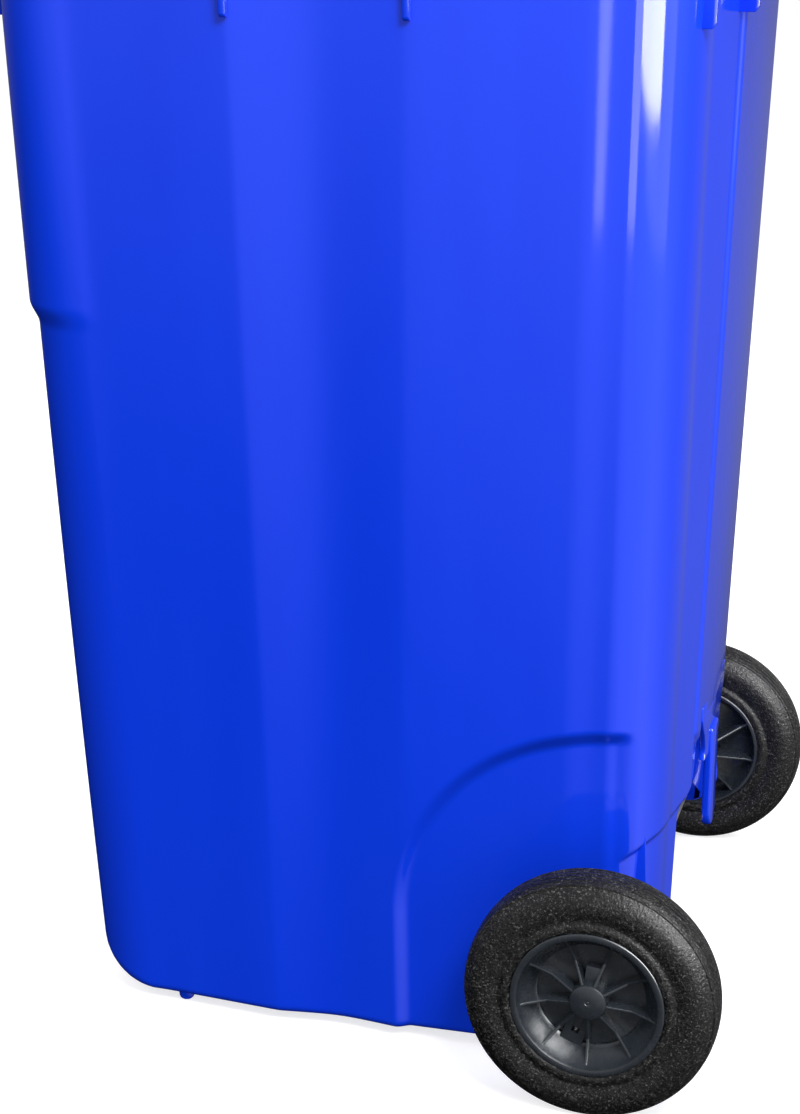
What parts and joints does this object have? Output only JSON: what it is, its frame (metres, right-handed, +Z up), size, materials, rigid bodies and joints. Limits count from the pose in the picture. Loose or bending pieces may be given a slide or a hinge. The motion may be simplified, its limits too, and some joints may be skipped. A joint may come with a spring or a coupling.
{
  "type": "wheelie bin",
  "caption": "Tall two-wheeled refuse bin with a tapered ridged container, hinged domed lid, rear grip handles and rubber-tyred wheels on a steel axle.",
  "frame": {"origin": "on the ground, at the middle of the overall width and depth", "axes": "+Z up, -Y is the front, the wheels are at +X and -X near the rear (+Y)"},
  "size_m": [0.5852, 0.73, 1.065],
  "materials": {
    "blue_plastic": "glossy moulded polyethylene",
    "dark_plastic": "satin moulded plastic",
    "tyre_rubber": "granular recycled rubber",
    "steel": "bright drawn steel"
  },
  "bodies": {
    "container": {"body": "blue_plastic", "axle": "steel", "hinge_pin_left": "dark_plastic", "hinge_pin_right": "dark_plastic"},
    "lid": {"lid": "blue_plastic"},
    "wheel_right": {"wheel_rim_right": "dark_plastic", "tyre_right": "tyre_rubber"},
    "wheel_left": {"wheel_rim_left": "dark_plastic", "tyre_left": "tyre_rubber"},
    "latch_right": {"wheel_latch_right": "dark_plastic", "latch_spring_right": "steel"},
    "latch_left": {"wheel_latch_left": "dark_plastic", "latch_spring_left": "steel"}
  },
  "joints": [
    {"name": "lid_hinge", "type": "hinge", "parent": "container", "child": "lid", "pos_m": [0, 0.325, 1.003], "axis": [-1, 0, 0], "range_deg": [0, 270]},
    {"name": "wheel_right_spin", "type": "hinge", "parent": "container", "child": "wheel_right", "pos_m": [0.2694, 0.16, 0.1], "axis": [1, 0, 0], "continuous": true},
    {"name": "wheel_left_spin", "type": "hinge", "parent": "container", "child": "wheel_left", "pos_m": [-0.2694, 0.16, 0.1], "axis": [1, 0, 0], "continuous": true},
    {"name": "latch_right_slide", "type": "slide", "parent": "wheel_right", "child": "latch_right", "axis": [0, -0.342, -0.9397], "range_m": [0, 0.004], "stiffness_N_per_m": 600, "springref_m": -0.004, "deforming": ["latch_spring_right"]},
    {"name": "latch_left_slide", "type": "slide", "parent": "wheel_left", "child": "latch_left", "axis": [0, -0.342, -0.9397], "range_m": [0, 0.004], "stiffness_N_per_m": 600, "springref_m": -0.004, "deforming": ["latch_spring_left"]}
  ]
}
